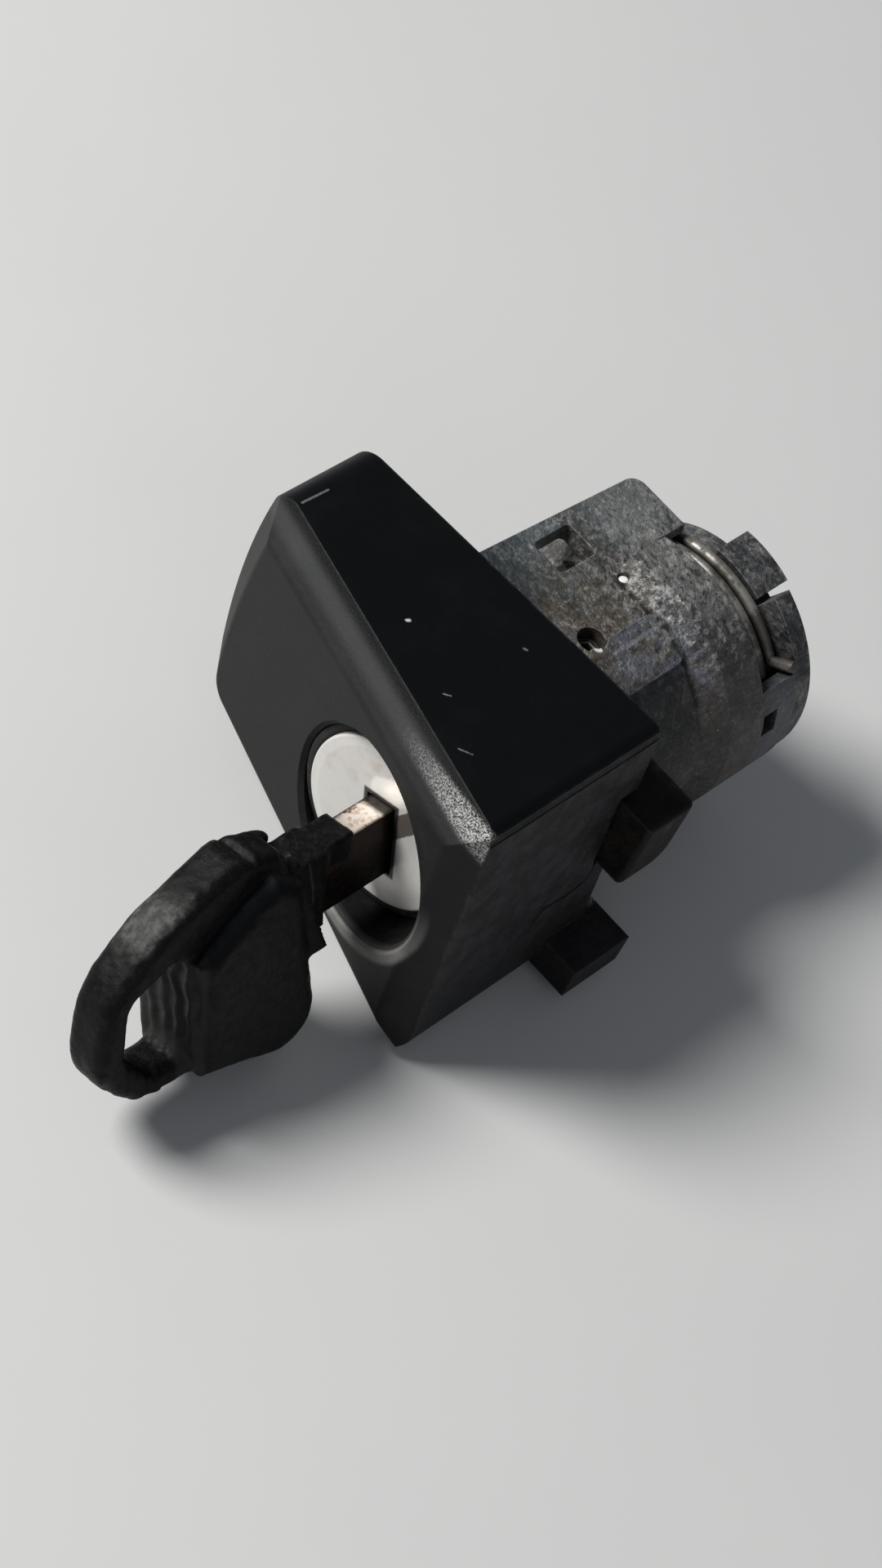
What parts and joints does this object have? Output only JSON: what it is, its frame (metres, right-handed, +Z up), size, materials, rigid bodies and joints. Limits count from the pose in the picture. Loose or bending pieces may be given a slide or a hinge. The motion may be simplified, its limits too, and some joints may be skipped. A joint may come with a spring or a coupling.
{
  "type": "door lock cylinder",
  "caption": "Vehicle door lock cylinder with a wedge-shaped cover cap, a die-cast barrel, a sprung driver ring at the tail and a key in the slot.",
  "frame": {"origin": "on the lock axis, in the plane where the door handle's carrier meets the ribs inside the cover cap, 1.3 mm inside the cap's rear rim", "axes": "+Y along the lock axis to the tail, so the key goes in from -Y; +X to the thick end of the cover cap; +Z up"},
  "size_m": [0.0453, 0.0781, 0.0306],
  "materials": {
    "cap_plastic": "satin grained",
    "bush_plastic": "matt, grimy",
    "die_cast": "as cast, stained",
    "plug_metal": "as cast",
    "stainless": "satin polished",
    "spring_steel": "oiled",
    "wafer_brass": "stamped",
    "seal_rubber": "matt",
    "key_metal": "worn nickel plate",
    "head_plastic": "worn soft plastic"
  },
  "bodies": {
    "lock_body": {"housing": "die_cast", "cover_cap": "cap_plastic", "screw_bush": "bush_plastic", "dust_seal": "seal_rubber", "return_spring": "spring_steel", "lock_pin": "spring_steel"},
    "plug_body": {"plug": "plug_metal", "face_disc": "stainless", "shutter_flap": "stainless", "shutter_pin": "spring_steel", "wafer_1": "wafer_brass", "wafer_2": "wafer_brass", "wafer_3": "wafer_brass", "wafer_4": "wafer_brass", "wafer_5": "wafer_brass", "wafer_6": "wafer_brass", "wafer_7": "wafer_brass", "wafer_8": "wafer_brass", "driver": "die_cast", "retaining_clip": "spring_steel"},
    "key": {"key_blade": "key_metal", "key_head": "head_plastic"}
  },
  "joints": [
    {"name": "plug_turn", "type": "hinge", "parent": "lock_body", "child": "plug_body", "pos_m": [0, 0, 0], "axis": [0, 1, 0], "range_deg": [-70, 70], "stiffness_Nm_per_rad": 0.04, "deforming": ["return_spring"]},
    {"name": "key_slide", "type": "slide", "parent": "plug_body", "child": "key", "axis": [0, -1, 0], "range_m": [0, 0.034]}
  ]
}
